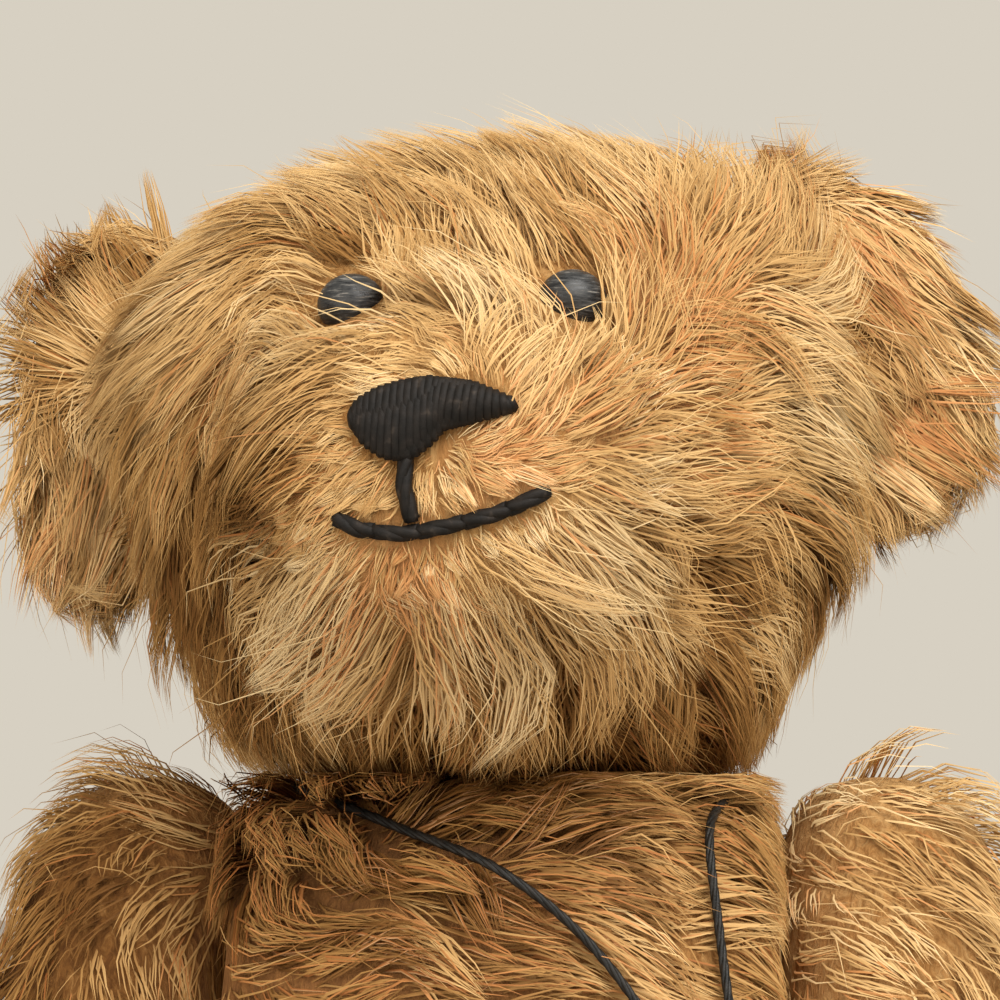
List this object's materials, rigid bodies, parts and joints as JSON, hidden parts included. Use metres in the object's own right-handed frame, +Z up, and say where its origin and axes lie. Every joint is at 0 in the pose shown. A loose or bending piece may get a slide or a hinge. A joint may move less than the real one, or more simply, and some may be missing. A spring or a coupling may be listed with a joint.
{
  "type": "teddy bear",
  "caption": "Seated, disc-jointed mohair teddy bear, worn thin round the face, with a black stitched nose and mouth and a thin cord round the neck.",
  "frame": {"origin": "middle of the bear's outer box on the surface it sits on", "axes": "+Z up, the bear faces -Y, +X towards the bear's left"},
  "size_m": [0.1434, 0.15, 0.223],
  "materials": {
    "mohair": "long honey-gold mohair pile, matted in locks, worn through to an orange-pink cloth in patches",
    "black_thread": "black twisted embroidery thread with a slight sheen",
    "eye_glass": "dark grey-black glass, dulled by wear",
    "waxed_cord": "thin black waxed twisted cord",
    "felt": "thin worn wool felt",
    "hardboard": "raw brown hardboard",
    "steel": "plain zinc-plated steel"
  },
  "bodies": {
    "torso": {"torso": "mohair", "neck_cord": "waxed_cord", "cord_knot": "waxed_cord", "neck_disc_inner": "hardboard", "neck_washer_inner": "steel", "neck_nut": "steel", "shoulder_right_disc_inner": "hardboard", "shoulder_right_washer_inner": "steel", "shoulder_right_nut": "steel", "shoulder_left_disc_inner": "hardboard", "shoulder_left_washer_inner": "steel", "shoulder_left_nut": "steel", "hip_right_disc_inner": "hardboard", "hip_right_washer_inner": "steel", "hip_right_nut": "steel", "hip_left_disc_inner": "hardboard", "hip_left_washer_inner": "steel", "hip_left_nut": "steel"},
    "head": {"head": "mohair", "ear_right": "mohair", "ear_left": "mohair", "eye_right": "eye_glass", "eye_left": "eye_glass", "nose_stitching": "black_thread", "lip_stitch": "black_thread", "mouth_stitch": "black_thread", "neck_disc_outer": "hardboard", "neck_washer_outer": "steel", "neck_bolt": "steel"},
    "arm_right": {"arm_right": "mohair", "paw_pad_right": "felt", "shoulder_right_disc_outer": "hardboard", "shoulder_right_washer_outer": "steel", "shoulder_right_bolt": "steel"},
    "leg_right": {"leg_right": "mohair", "foot_pad_right": "felt", "hip_right_disc_outer": "hardboard", "hip_right_washer_outer": "steel", "hip_right_bolt": "steel"},
    "arm_left": {"arm_left": "mohair", "paw_pad_left": "felt", "shoulder_left_disc_outer": "hardboard", "shoulder_left_washer_outer": "steel", "shoulder_left_bolt": "steel"},
    "leg_left": {"leg_left": "mohair", "foot_pad_left": "felt", "hip_left_disc_outer": "hardboard", "hip_left_washer_outer": "steel", "hip_left_bolt": "steel"}
  },
  "joints": [
    {"name": "neck_swivel", "type": "hinge", "parent": "torso", "child": "head", "pos_m": [0, 0.0299, 0.1425], "axis": [0, 0, 1], "continuous": true},
    {"name": "shoulder_swing_right", "type": "hinge", "parent": "torso", "child": "arm_right", "pos_m": [-0.033, 0.0299, 0.122], "axis": [-1, 0, 0], "range_deg": [-100, 62]},
    {"name": "shoulder_swing_left", "type": "hinge", "parent": "torso", "child": "arm_left", "pos_m": [0.033, 0.0299, 0.122], "axis": [-1, 0, 0], "range_deg": [-100, 62]},
    {"name": "hip_swing_right", "type": "hinge", "parent": "torso", "child": "leg_right", "pos_m": [-0.033, 0.0299, 0.02], "axis": [-1, 0, 0], "range_deg": [-115, 5]},
    {"name": "hip_swing_left", "type": "hinge", "parent": "torso", "child": "leg_left", "pos_m": [0.033, 0.0299, 0.02], "axis": [-1, 0, 0], "range_deg": [-115, 5]}
  ]
}
